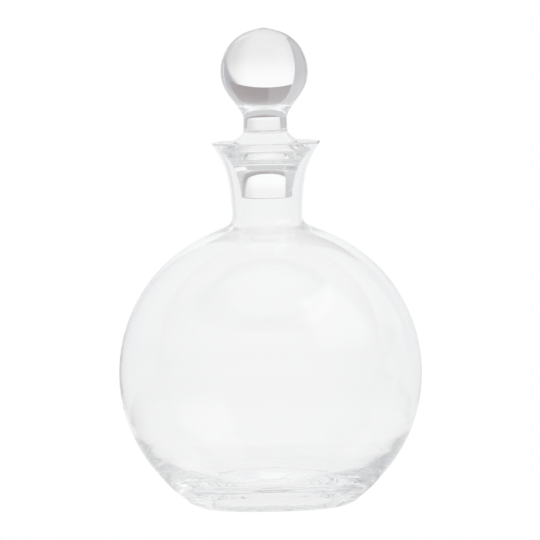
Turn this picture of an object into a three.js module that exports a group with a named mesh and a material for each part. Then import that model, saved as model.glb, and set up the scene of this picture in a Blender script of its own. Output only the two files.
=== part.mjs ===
// Clear glass globe decanter with a solid ball stopper.
// Millimetres, +Z up. The origin is the centre of the circle that the bottle stands on, and the
// Z axis is the common axis of the bottle and its stopper.
import * as THREE from 'three';
import { mergeVertices } from 'three/addons/utils/BufferGeometryUtils.js';

// ---------------------------------------------------------------------------
// Driving dimensions
// ---------------------------------------------------------------------------
const SEGMENTS = 48;              // facets round each turned surface

// Bottle: blown globe body
const BODY_RADIUS = 75.7;         // outside of the globe
const BODY_CENTRE_Z = 67.7;       // height of the globe's centre
const BODY_ARC_LOW_Z = 18.0;      // the outside is a true sphere from here ...
const BODY_ARC_HIGH_Z = 137.4;    // ... up to here
const BODY_ARC_LOW_STEPS = 8;     // from the heel to the widest place
const BODY_ARC_HIGH_STEPS = 12;   // from the widest place to the shoulder

// Bottle: thickness of the glass at each height, from the thick corner of the bottom, through the
// thin shoulder, to the neck and the flared mouth: [height, wall]
const WALL = [
  [24, 2.5], [30, 2.18], [36, 1.5], [42, 1.46], [50, 1.43], [67, 1.2], [85, 1.0], [100, 0.85], [115, 0.7],
  [125, 0.62], [136, 0.62], [138.5, 0.7], [140, 0.82], [141.2, 0.98], [142.2, 1.15],
  [143.5, 1.32], [145, 1.42], [148, 1.52], [155, 1.65], [163, 1.8], [170, 1.9], [176, 2.0],
  [184, 2.1],
];
const WALL_LOW_Z = 28.5;          // below this the inside turns into the thick corner

// Bottle: thick bottom
const FOOT_OUTER_RADIUS = 32.5;   // flat standing ring, outer edge
const FOOT_INNER_RADIUS = 29.5;   // flat standing ring, inner edge
const UNDERSIDE_HOLLOW = 1.87;    // depth of the flat hollow inside the ring
const FLOOR_Z = 13.2;             // inside floor on the axis, pushed up a little
const FLOOR_LOW_Z = 8.9;          // inside floor at its lowest, round the pushed up middle

// Bottle: neck and flared mouth
const NECK_RADIUS = 17.43;        // outside, at the narrowest
const NECK_Z = 148.0;             // height of the narrowest place
const RIM_RADIUS = 27.35;         // outer edge of the flat rim
const RIM_Z = 183.2;              // height of the rim

// Stopper
const BALL_RADIUS = 21.85;        // finial
const BALL_CENTRE_Z = 218.5;
const TOP_Z = 240.5;              // apex of the finial
const WAIST_RADIUS = 10.78;
const WAIST_Z = 194.5;
const FLANGE_RADIUS = 22.35;      // rounded edge that sits on the flare
const FLANGE_Z = 179.65;
const PLUG_END_RADIUS = 12.7;
const PLUG_END_Z = 155.4;

// ---------------------------------------------------------------------------
// Profiles: [radius, height] points from the axis, out, up, and back to the axis
// ---------------------------------------------------------------------------

// Points on a circle centred on the axis, between two heights, both ends included.
function arc(radius, centreZ, fromZ, toZ, steps) {
  const a0 = Math.asin((fromZ - centreZ) / radius);
  const a1 = Math.asin((toZ - centreZ) / radius);
  const points = [];
  for (let i = 0; i <= steps; i++) {
    const a = a0 + ((a1 - a0) * i) / steps;
    points.push([radius * Math.cos(a), centreZ + radius * Math.sin(a)]);
  }
  return points;
}

// The wall at a height, between the entries of WALL.
function wallAt(z) {
  for (let i = 1; i < WALL.length; i++) {
    if (z <= WALL[i][0]) {
      const [z0, w0] = WALL[i - 1];
      const [z1, w1] = WALL[i];
      return w0 + ((w1 - w0) * Math.max(0, z - z0)) / (z1 - z0);
    }
  }
  return WALL[WALL.length - 1][1];
}

// The blown wall's outside: the globe, the shoulder, the neck and the flared mouth, upwards.
const blownOutside = [
  ...arc(BODY_RADIUS, BODY_CENTRE_Z, BODY_ARC_LOW_Z, BODY_CENTRE_Z, BODY_ARC_LOW_STEPS),
  ...arc(BODY_RADIUS, BODY_CENTRE_Z, BODY_CENTRE_Z, BODY_ARC_HIGH_Z, BODY_ARC_HIGH_STEPS).slice(1),
  // shoulder into the neck
  [26.3, 138.85],
  [23.65, 139.95],
  [21.1, 141.0],
  [19.25, 142.0],
  [18.25, 143.2],
  [17.68, 144.9],
  [NECK_RADIUS, NECK_Z],
  // flared mouth
  [17.71, 152.0],
  [18.13, 157.6],
  [18.65, 162.3],
  [19.38, 166.0],
  [20.42, 170.1],
  [22.08, 174.1],
  [24.24, 178.1],
  [26.7, 182.1],
  [RIM_RADIUS, RIM_Z],
];

// The same line moved inwards by the wall, from the mouth down to the bottom corner.
function movedIn(line) {
  const inside = [];
  for (let i = 0; i < line.length; i++) {
    const before = line[Math.max(0, i - 1)];
    const after = line[Math.min(line.length - 1, i + 1)];
    const dr = after[0] - before[0];
    const dz = after[1] - before[1];
    const length = Math.hypot(dr, dz);
    const wall = wallAt(line[i][1]);
    const point = [line[i][0] - (dz / length) * wall, line[i][1] + (dr / length) * wall];
    if (point[1] > WALL_LOW_Z && point[1] < RIM_Z - 0.3) inside.unshift(point);
  }
  return inside;
}

// The outside of the bottle, from the middle of the underside to the rim.
const bottleOutside = [
  [0, UNDERSIDE_HOLLOW],
  [18, UNDERSIDE_HOLLOW - 0.02],
  [22, 1.5],
  [26, 0.9],
  [FOOT_INNER_RADIUS, 0],
  [FOOT_OUTER_RADIUS, 0],
  // heel, slightly fuller than the sphere
  [34.6, 0.3],
  [37.5, 1.2],
  [41.2, 3.1],
  [45.6, 6.6],
  [50.2, 10.3],
  ...blownOutside.slice(0, -1),
  // rim, flat, with its outer edge polished off
  [RIM_RADIUS - 0.05, RIM_Z - 0.2],
  [RIM_RADIUS - 0.25, RIM_Z],
];

// The inside of the bottle, from the rim to the middle of the floor.
const bottleInside = [
  [25.25, RIM_Z],
  [24.85, RIM_Z - 0.35],
  ...movedIn(blownOutside),
  // thick corners and floor
  [57.2, 22.95],
  [53.5, 19.7],
  [49.5, 16.6],
  [45.5, 14.2],
  [41.0, 12.5],
  [35.0, 11.4],
  [31.0, 9.9],
  [27.0, FLOOR_LOW_Z],
  [21.0, 9.7],
  [15.0, 11.2],
  [8.0, 12.7],
  [0, FLOOR_Z],
];

// The stopper, from the middle of the plug's flat end to the apex of the ball.
const stopperProfile = [
  [0, PLUG_END_Z],
  [PLUG_END_RADIUS - 0.5, PLUG_END_Z],
  [PLUG_END_RADIUS, PLUG_END_Z + 0.5],
  [12.95, 158.6],
  [13.93, 164.0],
  [14.77, 166.9],
  [15.82, 169.9],
  [17.35, 173.0],
  [19.4, 175.9],
  [21.45, 178.2],
  [FLANGE_RADIUS - 0.1, FLANGE_Z - 0.45],
  [FLANGE_RADIUS, FLANGE_Z],
  [21.45, 180.6],
  [20.4, 181.3],
  [18.8, 182.2],
  [16.7, 183.3],
  [15.1, 184.6],
  [13.33, 186.1],
  [11.75, 187.6],
  [11.05, 189.1],
  [10.91, 190.6],
  [10.86, 192.6],
  [WAIST_RADIUS, WAIST_Z],
  [10.96, 196.2],
  [11.85, 198.2],
  [13.65, 201.1],
  [15.85, 204.1],
  [18.1, 207.1],
  [19.9, 210.1],
  [21.05, 213.0],
  ...arc(BALL_RADIUS, BALL_CENTRE_Z, 216.0, 231.5, 8),
  // the ball rises to a slight peak
  [15.7, 233.65],
  [13.3, 235.65],
  [9.95, 237.65],
  [5.7, 239.15],
  [0, TOP_Z],
];

// ---------------------------------------------------------------------------
// Turned solids
// ---------------------------------------------------------------------------
const round = (v) => Math.round(v * 1e4) / 1e4;

function turned(profile) {
  const lathe = new THREE.LatheGeometry(
    profile.map(([r, z]) => new THREE.Vector2(round(r), round(z))), SEGMENTS);
  lathe.deleteAttribute('normal');
  lathe.deleteAttribute('uv');
  lathe.rotateX(Math.PI / 2);           // the lathe's axis becomes +Z
  const merged = mergeVertices(lathe, 1e-3);
  // the triangles that shrink to a line on the axis are dropped
  const index = merged.getIndex().array;
  const kept = [];
  for (let i = 0; i < index.length; i += 3) {
    const [a, b, c] = [index[i], index[i + 1], index[i + 2]];
    if (a !== b && b !== c && a !== c) kept.push(a, b, c);
  }
  merged.setIndex(kept);
  return merged;
}

const clearGlass = () => new THREE.MeshStandardMaterial({
  color: 0xf4f7f7, roughness: 0.02, metalness: 0, transparent: true, opacity: 0.35,
});

function piece(name, geometry, material) {
  const mesh = new THREE.Mesh(geometry, material);
  mesh.name = name;
  return mesh;
}

const decanter = new THREE.Group();
decanter.name = 'decanter';
decanter.add(piece('bottle', turned([...bottleOutside, ...bottleInside]), clearGlass()));
decanter.add(piece('stopper', turned(stopperProfile), clearGlass()));

export default decanter;
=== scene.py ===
import math

import bpy
import numpy as np
from mathutils import Matrix, Vector


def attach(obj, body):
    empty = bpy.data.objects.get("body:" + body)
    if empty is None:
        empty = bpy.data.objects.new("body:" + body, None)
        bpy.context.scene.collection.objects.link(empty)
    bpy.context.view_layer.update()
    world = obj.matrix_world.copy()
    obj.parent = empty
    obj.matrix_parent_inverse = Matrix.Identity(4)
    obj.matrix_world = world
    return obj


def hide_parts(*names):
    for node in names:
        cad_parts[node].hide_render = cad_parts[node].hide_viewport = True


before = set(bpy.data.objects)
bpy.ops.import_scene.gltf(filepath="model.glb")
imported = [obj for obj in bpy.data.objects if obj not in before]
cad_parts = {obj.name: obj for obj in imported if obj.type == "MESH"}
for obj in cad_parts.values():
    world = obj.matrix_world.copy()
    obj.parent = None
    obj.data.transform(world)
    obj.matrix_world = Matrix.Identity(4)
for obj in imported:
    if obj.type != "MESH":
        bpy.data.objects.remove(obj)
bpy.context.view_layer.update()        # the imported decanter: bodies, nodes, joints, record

MM = 0.001

# ---------------------------------------------------------------------------
# Profiles of the two turned glass pieces: (radius, height) in mm, from the
# axis, out, up, and back to the axis. Each is a list of smooth runs that meet
# at real edges of the glass.
# ---------------------------------------------------------------------------
BODY_RADIUS = 75.7
BODY_CENTRE_Z = 67.7
RIM_Z = 183.2
# wall at each height, mm: blown thin at the shoulder, thicker in the neck and towards the bottom
WALL = ((24, 2.5), (30, 2.18), (36, 1.5), (42, 1.46), (50, 1.43), (67, 1.2), (85, 1.0), (100, 0.85),
        (115, 0.7), (125, 0.62), (136, 0.62), (138.5, 0.7), (140, 0.82), (141.2, 0.98), (142.2, 1.15),
        (143.5, 1.32), (145, 1.42), (148, 1.52), (155, 1.65), (163, 1.8), (170, 1.9), (176, 2.0), (184, 2.1))


def arc(radius, centre_z, z0, z1, n):
    a0 = math.asin((z0 - centre_z) / radius)
    a1 = math.asin((z1 - centre_z) / radius)
    return [(radius * math.cos(a0 + (a1 - a0) * i / n),
             centre_z + radius * math.sin(a0 + (a1 - a0) * i / n)) for i in range(n + 1)]


def inner_wall(outer, bottom):
    """The inside of the glass from the rim down to the bottom corner: one wall in from the outside."""
    line = through(outer, 0.1)
    t = np.gradient(line, axis=0)
    t /= np.linalg.norm(t, axis=1)[:, None]
    wall = np.interp(line[:, 1], [w[0] for w in WALL], [w[1] for w in WALL])
    line = line + np.c_[-t[:, 1], t[:, 0]] * wall[:, None]
    line = line[(line[:, 1] < RIM_Z - 0.2) & (line[:, 1] > bottom)][::-1]
    return [tuple(q) for q in line[::6]]


def through(points, step=0.2):
    """A smooth run through the points (centripetal Catmull-Rom), as evenly spaced points."""
    p = np.array(points, float)
    if len(p) == 2:
        dense = p
    else:
        p = np.vstack([2 * p[0] - p[1], p, 2 * p[-1] - p[-2]])
        out = []
        for i in range(1, len(p) - 2):
            q = p[i - 1:i + 3]
            t = np.concatenate([[0], np.cumsum(np.sqrt(np.linalg.norm(np.diff(q, axis=0), axis=1)))])
            u = np.linspace(t[1], t[2], 24, endpoint=False)[:, None]
            a1 = (t[1] - u) / (t[1] - t[0]) * q[0] + (u - t[0]) / (t[1] - t[0]) * q[1]
            a2 = (t[2] - u) / (t[2] - t[1]) * q[1] + (u - t[1]) / (t[2] - t[1]) * q[2]
            a3 = (t[3] - u) / (t[3] - t[2]) * q[2] + (u - t[2]) / (t[3] - t[2]) * q[3]
            b1 = (t[2] - u) / (t[2] - t[0]) * a1 + (u - t[0]) / (t[2] - t[0]) * a2
            b2 = (t[3] - u) / (t[3] - t[1]) * a2 + (u - t[1]) / (t[3] - t[1]) * a3
            out.append((t[2] - u) / (t[2] - t[1]) * b1 + (u - t[1]) / (t[2] - t[1]) * b2)
        dense = np.vstack(out + [p[-2:-1]])
    return evenly(dense, step)


def evenly(line, step):
    s = np.concatenate([[0], np.cumsum(np.linalg.norm(np.diff(line, axis=0), axis=1))])
    n = max(2, int(round(s[-1] / step)) + 1)
    at = np.linspace(0, s[-1], n)
    return np.c_[np.interp(at, s, line[:, 0]), np.interp(at, s, line[:, 1])]


def soften(line, sigma, step):
    """Evens out the curvature of a run, with its two ends kept."""
    k = int(4 * sigma / step)
    if k < 1:
        return line
    w = np.exp(-0.5 * (np.arange(-k, k + 1) * step / sigma) ** 2)
    w /= w.sum()
    pad = np.vstack([2 * line[0] - line[k:0:-1], line, 2 * line[-1] - line[-2:-k - 2:-1]])
    return np.c_[np.convolve(pad[:, 0], w, "valid"), np.convolve(pad[:, 1], w, "valid")]


UNDERSIDE = [(0, 1.87), (9, 1.87), (18, 1.87), (25.92, 0.93), (29.52, 0.0)]
FOOT = [(29.52, 0.0), (32.5, 0.0)]
OUTSIDE = ([(32.5, 0.0), (34.6, 0.3), (37.48, 1.22), (41.20, 3.10), (45.6, 6.6), (50.2, 10.3)]
           + arc(BODY_RADIUS, BODY_CENTRE_Z, 18.0, 137.4, 24)
           + [(26.3, 138.85), (23.65, 139.95), (21.1, 141.0), (19.25, 142.0), (18.25, 143.2),
              (17.7, 144.7), (17.47, 146.4), (17.43, 148.0), (17.57, 150.0), (17.71, 152.0),
              (17.86, 154.0), (18.01, 156.0), (18.18, 158.1), (18.38, 160.1), (18.63, 162.1),
              (18.97, 164.0), (19.38, 166.0), (19.84, 168.1), (20.42, 170.1), (21.18, 172.1),
              (22.08, 174.1), (23.09, 176.1), (24.24, 178.1), (25.5, 180.1), (26.7, 182.1), (27.35, RIM_Z)])

INSIDE = inner_wall(OUTSIDE, 28.5)
RIM = [(27.35, RIM_Z), (INSIDE[0][0] + 0.15, RIM_Z)]
INSIDE = ([RIM[1]] + INSIDE
          + [(57.2, 22.95), (53.5, 19.7), (49.5, 16.63), (45.5, 14.23), (41.0, 12.45), (35.0, 11.43),
             (27.0, 8.92), (15.0, 11.16), (0, 13.24)])

PLUG_END = [(0, 155.4), (6, 155.4), (12.19, 155.4)]
PLUG_EDGE = [(12.19, 155.4), (12.69, 155.9)]
STOPPER_SIDE = ([(12.69, 155.9), (12.94, 158.6), (13.35, 161.3), (13.93, 164.0), (14.77, 166.9), (15.82, 169.9),
                 (17.35, 173.0), (19.45, 175.9), (21.51, 178.2), (22.42, 179.65), (21.45, 180.6), (20.44, 181.3),
                 (18.82, 182.2), (16.61, 183.3), (15.09, 184.6), (13.33, 186.1), (11.75, 187.6), (11, 189.1),
                 (10.91, 190.6), (10.86, 192.6), (10.78, 194.5), (10.96, 196.2), (11.9, 198.2), (13.7, 201.1),
                 (15.9, 204.1), (18.15, 207.1), (19.95, 210.1), (21.1, 213.0)]
                + arc(21.85, 218.5, 216.0, 231.5, 11)
                + [(16.56, 232.65), (15.62, 233.65), (14.53, 234.65), (13.26, 235.65), (11.8, 236.65), (9.9, 237.65),
                   (7.3, 238.65), (3.7, 239.65), (0, 240.35)])


def profile(runs, sigmas, edge, step=0.1):
    """Joins the runs, rounds the edges between them by about edge mm, and gives one fine line."""
    parts = []
    for run, sigma in zip(runs, sigmas):
        line = through(run, step)
        if sigma:
            line = soften(line, min(sigma, len(line) * step / 9), step)
        parts.append(line if not parts else line[1:])
    line = evenly(np.vstack(parts), step)
    line = soften(line, edge, step)
    line[0, 0] = line[-1, 0] = 0.0
    return line


def thin(line, turn=0.045, longest=2.2, shortest=0.12):
    """Keeps the points that the curve needs: closer together where it bends more."""
    d = np.diff(line, axis=0)
    ang = np.unwrap(np.arctan2(d[:, 1], d[:, 0]))
    keep, since, bent = [0], 0.0, 0.0
    for i in range(1, len(line) - 1):
        since += np.linalg.norm(d[i - 1])
        bent += abs(ang[i] - ang[i - 1])
        if since >= longest or (bent >= turn and since >= shortest):
            keep.append(i)
            since = bent = 0.0
    keep.append(len(line) - 1)
    return line[keep]


def turned(name, line, segments, move=None):
    """One closed surface turned round Z from a profile line in mm. move(r, z, angle, nr, nz) gives
    how far, in mm, each point stands off the true profile along its normal."""
    t = np.gradient(line, axis=0)
    t /= np.linalg.norm(t, axis=1)[:, None]
    nr, nz = t[:, 1], -t[:, 0]                      # outward for an upward outer wall
    inner = line[1:-1]
    a = np.arange(segments) * 2 * math.pi / segments
    r, ang = np.meshgrid(inner[:, 0], a, indexing="ij")
    z = np.meshgrid(inner[:, 1], a, indexing="ij")[0]
    nrg = np.meshgrid(nr[1:-1], a, indexing="ij")[0]
    nzg = np.meshgrid(nz[1:-1], a, indexing="ij")[0]
    if move is not None:
        off = move(r, z, ang, nrg, nzg)
        r = r + off * nrg
        z = z + off * nzg
    verts = np.stack([r * np.sin(ang), -r * np.cos(ang), z], -1).reshape(-1, 3)
    verts = np.vstack([verts, [0, 0, line[0, 1]], [0, 0, line[-1, 1]]]) * MM
    n, m = inner.shape[0], segments
    low, high = n * m, n * m + 1
    i, j = np.meshgrid(np.arange(n - 1), np.arange(m), indexing="ij")
    j2 = (j + 1) % m
    quads = np.stack([i * m + j, i * m + j2, (i + 1) * m + j2, (i + 1) * m + j], -1).reshape(-1, 4)
    j = np.arange(m)
    j2 = (j + 1) % m
    first = [(low, int(b), int(c)) for b, c in zip(j2, j)]
    last = [(high, (n - 1) * m + int(b), (n - 1) * m + int(c)) for b, c in zip(j, j2)]
    mesh = bpy.data.meshes.new(name)
    mesh.from_pydata(verts.tolist(), [], quads.tolist() + first + last)
    mesh.validate()
    mesh.update()
    mesh.polygons.foreach_set("use_smooth", [True] * len(mesh.polygons))
    ob = bpy.data.objects.new(name, mesh)
    bpy.context.scene.collection.objects.link(ob)
    return ob


def waves(seed, count, kz, ka):
    """Smooth, repeatable unevenness: a sum of sines over height and angle, between about -1 and 1."""
    rng = np.random.default_rng(seed)
    terms = [(rng.uniform(*kz) * rng.choice([-1, 1]), int(rng.integers(ka[0], ka[1] + 1)),
              rng.uniform(0, 2 * math.pi), rng.uniform(0.5, 1.0)) for _ in range(count)]
    scale = 1.4 / math.sqrt(sum(t[3] ** 2 for t in terms) / 2) / 2

    def field(s, ang):
        total = np.zeros_like(s)
        for k, m, ph, amp in terms:
            total += amp * np.sin(k * s + m * ang + ph)
        return total * scale
    return field


def step01(x, a, b):
    t = np.clip((x - a) / (b - a), 0, 1)
    return t * t * (3 - 2 * t)


# ---------------------------------------------------------------------------
# Glass
# ---------------------------------------------------------------------------
def clear_glass(name, colour, ripple, ripple_scale):
    """Clear glass with the faint, slow ripple of worked glass in its surface."""
    mat = bpy.data.materials.new(name)
    mat.use_nodes = True
    nt = mat.node_tree
    bsdf = nt.nodes["Principled BSDF"]
    bsdf.inputs["Base Color"].default_value = (*colour, 1)
    bsdf.inputs["Roughness"].default_value = 0.0
    bsdf.inputs["IOR"].default_value = 1.5
    bsdf.inputs["Transmission Weight"].default_value = 1.0
    coords = nt.nodes.new("ShaderNodeTexCoord")
    noise = nt.nodes.new("ShaderNodeTexNoise")
    noise.inputs["Scale"].default_value = ripple_scale
    noise.inputs["Detail"].default_value = 1.5
    noise.inputs["Roughness"].default_value = 0.35
    bump = nt.nodes.new("ShaderNodeBump")
    bump.inputs["Strength"].default_value = 1.0
    bump.inputs["Distance"].default_value = ripple
    nt.links.new(coords.outputs["Object"], noise.inputs["Vector"])
    nt.links.new(noise.outputs["Fac"], bump.inputs["Height"])
    nt.links.new(bump.outputs["Normal"], bsdf.inputs["Normal"])
    return mat


bottle_mat = clear_glass("bottle_clear_glass", (0.993, 0.994, 0.994), 0.00003, 28.0)
stopper_mat = clear_glass("stopper_clear_glass", (0.992, 0.994, 0.994), 0.00001, 40.0)

# Bottle: cords and slow waves, mostly in the thick corners of the bottom and on the inside
cord_fine = waves(11, 14, (0.9, 1.9), (3, 14))
cord_slow = waves(12, 10, (0.25, 0.6), (2, 6))
wall_slow = waves(13, 8, (0.02, 0.06), (1, 4))


CORD_FINE, CORD_SLOW = 0.03, 0.06      # mm


def bottle_unevenness(r, z, ang, nr, nz):
    inside = np.where((nr < -0.02) & (z > 12), 1.0, 0.0)
    inside = np.maximum(inside, np.where((z > 12) & (z < 30) & (r < 57.5) & (nz > 0), 1.0, 0.0))
    corner = step01(r, 20, 46) * (1 - step01(z, 21, 34)) * inside
    along = z + 0.35 * r
    off = corner * (CORD_FINE * cord_fine(along, ang) + CORD_SLOW * cord_slow(along, ang))
    off += inside * 0.015 * wall_slow(z, ang) * step01(z, 12, 40) * (1 - step01(z, 110, 130))
    return off


bottle_line = thin(profile([UNDERSIDE, FOOT, OUTSIDE, RIM, INSIDE],
                           [0.8, 0, 0.9, 0, 0.9], 0.22))
bottle = turned("bottle_glass", bottle_line, 192, bottle_unevenness)
bottle.data.materials.append(bottle_mat)

stopper_line = thin(profile([PLUG_END, PLUG_EDGE, STOPPER_SIDE], [0, 0, 0.5], 0.15),
                    longest=1.2)
stopper = turned("stopper_glass", stopper_line, 160)
stopper.data.materials.append(stopper_mat)

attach(bottle, "bottle")
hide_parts("bottle")
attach(stopper, "stopper")
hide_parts("stopper")


# ---------------------------------------------------------------------------
# Stage: a floor, sheet and cards that the camera sees plain white, with painted shade and light where the glass shows
# them, and a soft studio that depends on direction only
# ---------------------------------------------------------------------------
def emission(name, colour, strength):
    mat = bpy.data.materials.new(name)
    mat.use_nodes = True
    nt = mat.node_tree
    nt.nodes.clear()
    out = nt.nodes.new("ShaderNodeOutputMaterial")
    em = nt.nodes.new("ShaderNodeEmission")
    em.inputs["Color"].default_value = (*colour, 1)
    em.inputs["Strength"].default_value = strength
    nt.links.new(em.outputs[0], out.inputs["Surface"])
    return mat


def disc(name, radius, z, material, segments=96):
    a = np.arange(segments) * 2 * math.pi / segments
    verts = [(radius * math.cos(t), radius * math.sin(t), z) for t in a]
    mesh = bpy.data.meshes.new(name)
    mesh.from_pydata(verts, [], [list(range(segments))])
    mesh.update()
    ob = bpy.data.objects.new(name, mesh)
    ob.data.materials.append(material)
    bpy.context.scene.collection.objects.link(ob)
    return ob


THROUGH_WALLS = (0.950, 0.951, 0.953)   # the white backdrop, as thin walls of glass show it: painted shade, drawn this much darker than the white the camera sees
UPRIGHT_LIFT = 0.50         # painted reflection: in reflections the sheet and the cards are drawn this far towards a cool white
FLOOR_LIFT = 0.0            # and those of the floor
REFLECTION_WHITE = (0.935, 0.945, 0.965)
PLUG_PAINTED_LIGHT = 0.10            # painted light: how much lighter the studio is drawn where seen through the solid plug, standing in for the bright middle that the plug sees
SHEET_Y = 0.200             # a white sheet and two grey cards stand this far behind the object
LEFT = (0.57, 0.565, 0.585)
LEFT_HIGH = (0.64, 0.635, 0.65)
RIGHT = (0.455, 0.445, 0.475)
RIGHT_FAR = (0.57, 0.57, 0.60)
GLINT = (0.76, 0.80, 0.84)
SIDE_FAR = (0.34, 0.355, 0.37)


def studio_white(name, level_of, lift):
    """A surface that the camera sees plain white. Through thin walls it is drawn almost white, a painted shade. In
    reflections and in the solid glass it has the painted shade and light that level_of makes from a place on it,
    in reflections with a painted lift towards white, and through the plug with painted extra light."""
    mat = bpy.data.materials.new(name)
    mat.use_nodes = True
    tree = mat.node_tree
    tree.nodes.clear()
    k = Maker(tree)
    path = tree.nodes.new("ShaderNodeLightPath")
    place = tree.nodes.new("ShaderNodeTexCoord")
    level = level_of(k, *k.separate(place.outputs["Object"]))
    reflected = k.math("GREATER_THAN", path.outputs["Glossy Depth"], 0.5)
    solid = k.math("COMPARE", path.outputs["Transmission Depth"], 2.0, 0.1)
    plug = k.math("COMPARE", path.outputs["Transmission Depth"], 6.0, 0.1)      # solid glass inside the neck
    through = k.math("GREATER_THAN", path.outputs["Transmission Depth"], 0.5)
    # painted shade: seen through glass walls the white is drawn a little darker
    white = k.mix((1.0, 1.0, 1.0), THROUGH_WALLS, through)
    # painted reflection: reflected, the level is drawn lifted towards a cool white
    painted_reflection = k.mix(level, REFLECTION_WHITE, lift)
    level = k.mix(level, painted_reflection, reflected)
    level = k.mix(white, level, k.math("MAXIMUM", k.math("MAXIMUM", reflected, solid), plug))
    # painted light: the surface glows brighter where seen through the plug
    strength = k.math("ADD", 1.0, k.math("MULTIPLY", plug, PLUG_PAINTED_LIGHT))
    em = tree.nodes.new("ShaderNodeEmission")
    tree.links.new(level, em.inputs["Color"])
    tree.links.new(strength, em.inputs["Strength"])
    out = tree.nodes.new("ShaderNodeOutputMaterial")
    tree.links.new(em.outputs[0], out.inputs["Surface"])
    return mat


# painted shade and light on the table, as (distance from the axis in m, level): rings round the foot, then dimmer
# outwards
FLOOR_FRONT = ((0.036, 0.47), (0.050, 0.64), (0.065, 0.43), (0.080, 0.84), (0.110, 0.77), (0.200, 0.62))
FLOOR_LEFT = ((0.036, 0.81), (0.050, 0.97), (0.065, 0.68), (0.080, 0.70), (0.110, 0.65), (0.200, 0.65), (0.280, 0.54))
FLOOR_RIGHT = ((0.036, 0.64), (0.050, 0.61), (0.065, 0.62), (0.080, 0.80), (0.110, 0.78), (0.200, 0.70), (0.280, 0.60))
FLOOR_BACK = ((0.036, 1.02), (0.050, 0.69), (0.065, 0.99), (0.080, 1.00), (0.110, 0.87))


def floor_painted_light_and_shade(k, x, y, z):
    """The studio table as reflections and the solid glass see it: painted rings of shade and light round its foot,
    standing in for what the glass casts, then painted light behind the object, painted shade in front, grey beside it,
    and a painted glint line to the right."""
    distance = k.math("SQRT", k.math("ADD", k.math("MULTIPLY", x, x), k.math("MULTIPLY", y, y)))
    turn = k.math("DIVIDE", y, distance)                    # -1 in front, 1 behind
    front = k.steps(distance, 0.90, FLOOR_FRONT, 0.0060)
    left = k.steps(distance, 0.92, FLOOR_LEFT, 0.0060)
    right = k.steps(distance, 0.92, FLOOR_RIGHT, 0.0060)
    behind = k.steps(distance, 1.00, FLOOR_BACK, 0.0060)
    side = k.lerp(left, right, k.ramp(x, -0.01, 0.01))
    front = k.lerp(front, side, k.ramp(turn, -0.85, -0.55))
    level = k.grey(k.lerp(front, behind, k.ramp(turn, 0.55, 0.85)))
    level = k.mix(level, LEFT, k.math("MULTIPLY", k.ramp(x, -0.155, -0.147, 1.0, 0.0), k.ramp(turn, 0.0, 0.4)))
    right = k.math("SUBTRACT", x, k.math("MULTIPLY", y, 0.6))
    level = k.mix(level, RIGHT, k.math("MULTIPLY", k.ramp(right, 0.38, 0.42), k.ramp(turn, -0.1, 0.1)))
    # painted glint: a thin bright line across the table to the right
    glint = k.math("SUBTRACT", x, k.math("MULTIPLY", y, 1.15))
    level = k.mix(level, GLINT, k.math("MULTIPLY", k.band(glint, 0.35, 0.44, 0.02, 0.04), k.ramp(turn, 0.0, 0.2)))
    return level


def sheet_level(k, x, y, z):
    """Painted shade: lighter towards its top, dimmer towards its sides."""
    level = k.ramp(z, 0.15, 0.23, 0.862, 0.99)
    level = k.math("SUBTRACT", level, k.ramp(x, 0.04, 0.12, 0.0, 0.12))
    level = k.math("SUBTRACT", level, k.ramp(x, 0.12, 0.30, 0.0, 0.18))
    level = k.math("SUBTRACT", level, k.ramp(x, -0.11, -0.07, 0.03, 0.0))
    # its right edge is soft: the edge line leans outwards as it goes down
    edge = k.math("ADD", x, k.math("MULTIPLY", z, 1.25))
    return k.mix(k.grey(level), RIGHT, k.ramp(edge, 0.385, 0.445))


def left_level(k, x, y, z):
    level = k.mix(LEFT, LEFT_HIGH, k.ramp(z, 0.20, 0.30))
    return k.mix(SIDE_FAR, level, k.ramp(x, -0.60, -0.20))


def right_level(k, x, y, z):
    line = k.math("ADD", x, k.math("MULTIPLY", z, 0.25))
    level = k.mix(RIGHT, RIGHT_FAR, k.ramp(line, 0.33, 0.37))
    # painted glint: a thin bright strip on the card
    level = k.mix(level, GLINT, k.band(line, 0.335, 0.365, 0.008))
    level = k.mix(level, SIDE_FAR, k.ramp(x, 0.38, 0.60))
    return k.mix(level, (0.58, 0.58, 0.60), k.ramp(z, 0.26, 0.36))


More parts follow.
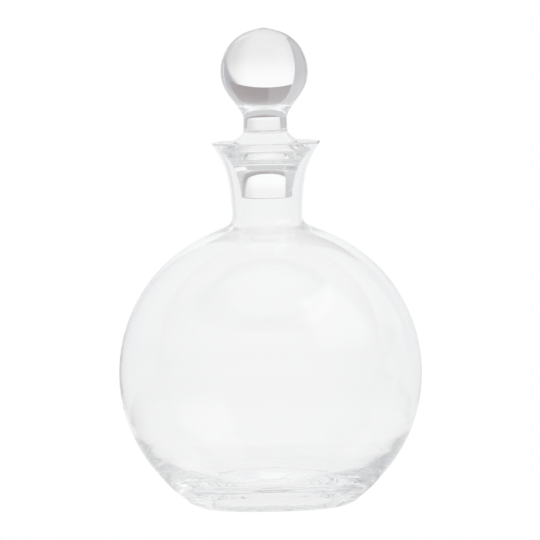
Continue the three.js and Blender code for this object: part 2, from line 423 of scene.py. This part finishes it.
class Maker:
    """Short names for the few kinds of node that the stage uses."""

    def __init__(self, tree):
        self.t = tree

    def _put(self, socket, x):
        if isinstance(x, (int, float)):
            socket.default_value = x
        elif isinstance(x, tuple):
            socket.default_value = (*x, 1)
        else:
            self.t.links.new(x, socket)

    def math(self, op, a, b=None, c=None):
        n = self.t.nodes.new("ShaderNodeMath")
        n.operation = op
        for i, x in enumerate((a, b, c)):
            if x is not None:
                self._put(n.inputs[i], x)
        return n.outputs[0]

    def separate(self, vector):
        n = self.t.nodes.new("ShaderNodeSeparateXYZ")
        self.t.links.new(vector, n.inputs[0])
        return n.outputs

    def ramp(self, x, a, b, lo=0.0, hi=1.0):
        """lo below a, hi above b, smooth between."""
        n = self.t.nodes.new("ShaderNodeMapRange")
        n.interpolation_type = "SMOOTHSTEP"
        self._put(n.inputs["Value"], x)
        self._put(n.inputs["From Min"], a)
        self._put(n.inputs["From Max"], b)
        n.inputs["To Min"].default_value = lo
        n.inputs["To Max"].default_value = hi
        return n.outputs["Result"]

    def steps(self, x, first, changes, soft):
        """first, and from each (place, level) in changes on that level, with edges soft wide."""
        level = first
        for place, after in changes:
            level = self.math("ADD", level, self.ramp(x, place - soft / 2, place + soft / 2, 0.0, after - first))
            first = after
        return level

    def band(self, x, a, b, soft_a, soft_b=None):
        """1 between a and b, 0 outside, with edges soft_a and soft_b wide."""
        soft_b = soft_a if soft_b is None else soft_b
        return self.math("MULTIPLY", self.ramp(x, a - soft_a / 2, a + soft_a / 2),
                         self.ramp(x, b - soft_b / 2, b + soft_b / 2, 1.0, 0.0))

    def lerp(self, a, b, factor):
        n = self.t.nodes.new("ShaderNodeMix")
        self._put(n.inputs[2], a)
        self._put(n.inputs[3], b)
        self._put(n.inputs[0], factor)
        return n.outputs[0]

    def grey(self, x):
        n = self.t.nodes.new("ShaderNodeCombineColor")
        for i in range(3):
            self.t.links.new(x, n.inputs[i])
        return n.outputs[0]

    def mix(self, base, colour, factor):
        n = self.t.nodes.new("ShaderNodeMix")
        n.data_type = "RGBA"
        self._put(n.inputs[6], base)
        self._put(n.inputs[7], colour)
        self._put(n.inputs[0], factor)
        return n.outputs[2]


floor = disc("floor", 30.0, 0.0, studio_white("floor_white", floor_painted_light_and_shade, FLOOR_LIFT))



def upright(name, y, outline, material):
    """A flat card across the view, from the (x, z) of its outline, in metres."""
    mesh = bpy.data.meshes.new(name)
    mesh.from_pydata([(x, y, z) for x, z in outline], [], [list(range(len(outline)))])
    mesh.update()
    ob = bpy.data.objects.new(name, mesh)
    ob.data.materials.append(material)
    ob.visible_camera = False           # it never stands before the object in a view from behind
    bpy.context.scene.collection.objects.link(ob)
    return ob


upright("sheet", SHEET_Y, [(-0.148, 0.0), (-0.130, 0.1025), (-0.1205, 0.150), (-0.1176, 0.186), (-0.1115, 0.2185),
                           (-0.1055, 0.2630), (-0.05, 0.2605), (0.0, 0.2583), (0.05, 0.2570), (0.1055, 0.2564),
                           (0.1166, 0.2500), (0.1375, 0.2480), (0.165, 0.240), (0.218, 0.190), (0.382, 0.110),
                           (0.53, 0.0)], studio_white("sheet_white", sheet_level, UPRIGHT_LIFT))
upright("left_card", SHEET_Y + 0.0005, [(-0.10, 0.0), (-0.10, 0.262), (-0.096, 0.30), (-0.090, 0.35), (-0.080, 0.50),
                                        (-1.5, 0.50), (-1.5, 0.0)], studio_white("left_card_grey", left_level, UPRIGHT_LIFT))
upright("right_card", SHEET_Y + 0.0005, [(0.08, 0.0), (0.08, 0.246), (0.11, 0.2475), (0.1665, 0.2515), (0.163, 0.27),
                                         (0.155, 0.30), (0.145, 0.342), (0.130, 0.45), (0.120, 0.50),
                                         (1.5, 0.50), (1.5, 0.0)], studio_white("right_card_grey", right_level, UPRIGHT_LIFT))

world = bpy.data.worlds.new("studio")
bpy.context.scene.world = world
world.use_nodes = True
nt = world.node_tree
nt.nodes.clear()
k = Maker(nt)
direction = nt.nodes.new("ShaderNodeTexCoord").outputs["Generated"]
X, Y, Z = k.separate(direction)
azimuth = k.math("MULTIPLY", k.math("ARCTAN2", X, Y), 180 / math.pi)      # 0 behind the object, + to its right
elevation = k.math("MULTIPLY", k.math("ARCSINE", Z), 180 / math.pi)

# room colours, linear
ROOM_FRONT = (0.70, 0.70, 0.71)
ROOM_LEFT = (0.53, 0.545, 0.575)
ROOM_RIGHT = (0.61, 0.62, 0.64)
ROOM_TOP = (0.46, 0.475, 0.50)
ROOM_TOP_FRONT = (0.63, 0.635, 0.65)
ROOM_BROWN = (0.365, 0.325, 0.333)
ROOM_GREY = (0.435, 0.410, 0.420)
ROOM_HIGH = (0.56, 0.545, 0.55)
WHITE = (1.0, 1.0, 1.0)
SOFTBOX = (1.05, 1.05, 1.04)

around = k.math("ABSOLUTE", azimuth)
sides = k.mix(ROOM_LEFT, ROOM_RIGHT, k.ramp(azimuth, -1.0, 1.0))
sky = k.mix(sides, ROOM_FRONT, k.ramp(around, 95, 150))
sky = k.mix(sky, k.mix(ROOM_TOP, ROOM_TOP_FRONT, k.ramp(around, 90, 140)), k.ramp(elevation, 20, 52))
# the wall behind, over the sheet: brown, greyer on the left, lighter upwards and outwards
wall = k.mix(ROOM_GREY, ROOM_BROWN, k.ramp(azimuth, -4.3, -3.7))
outward = k.math("SQRT", k.math("ADD", k.math("POWER", k.math("MAXIMUM", k.math("SUBTRACT", elevation, 17.0), 0.0), 2.0),
                                k.math("POWER", k.math("MULTIPLY", k.math("MAXIMUM", azimuth, 0.0), 0.3), 2.0)))
wall = k.mix(wall, ROOM_HIGH, k.ramp(outward, 0, 42))
sky = k.mix(sky, wall, k.band(azimuth, -82, 82, 24))
# one soft light on the camera's right
sky = k.mix(sky, SOFTBOX, k.math("MULTIPLY", k.band(azimuth, 88, 141, 20, 6), k.band(elevation, 19, 56, 20, 5)))
sky = k.mix(sky, WHITE, k.ramp(elevation, 0.0, -0.5))
background = nt.nodes.new("ShaderNodeBackground")
nt.links.new(sky, background.inputs["Color"])
out = nt.nodes.new("ShaderNodeOutputWorld")
nt.links.new(background.outputs[0], out.inputs["Surface"])

# ---------------------------------------------------------------------------
# Camera: a long lens from the front, a little above
# ---------------------------------------------------------------------------
ELEVATION = 3.15      # degrees above the horizon
DISTANCE = 8.0        # metres
ROLL = 1.25           # degrees
AIM = Vector((0.00080, 0.0, 0.1190))
cam_data = bpy.data.cameras.new("camera")
cam_data.sensor_width = 36.0
cam_data.lens = 36.0 * DISTANCE / 0.270
cam_data.clip_end = 100.0
cam = bpy.data.objects.new("camera", cam_data)
bpy.context.scene.collection.objects.link(cam)
e = math.radians(ELEVATION)
back = Vector((0.0, -math.cos(e), math.sin(e)))
cam.rotation_mode = "QUATERNION"
cam.location = AIM + back * DISTANCE
look = (-back).to_track_quat("-Z", "Y")
cam.rotation_quaternion = look @ Matrix.Rotation(math.radians(-ROLL), 3, "Z").to_quaternion()
bpy.context.scene.camera = cam

scene = bpy.context.scene
scene.view_settings.view_transform = "Standard"
scene.view_settings.look = "None"
scene.cycles.max_bounces = 512
scene.cycles.transmission_bounces = 512
scene.cycles.glossy_bounces = 512
scene.cycles.transparent_max_bounces = 16
scene.cycles.sample_clamp_indirect = 0.0
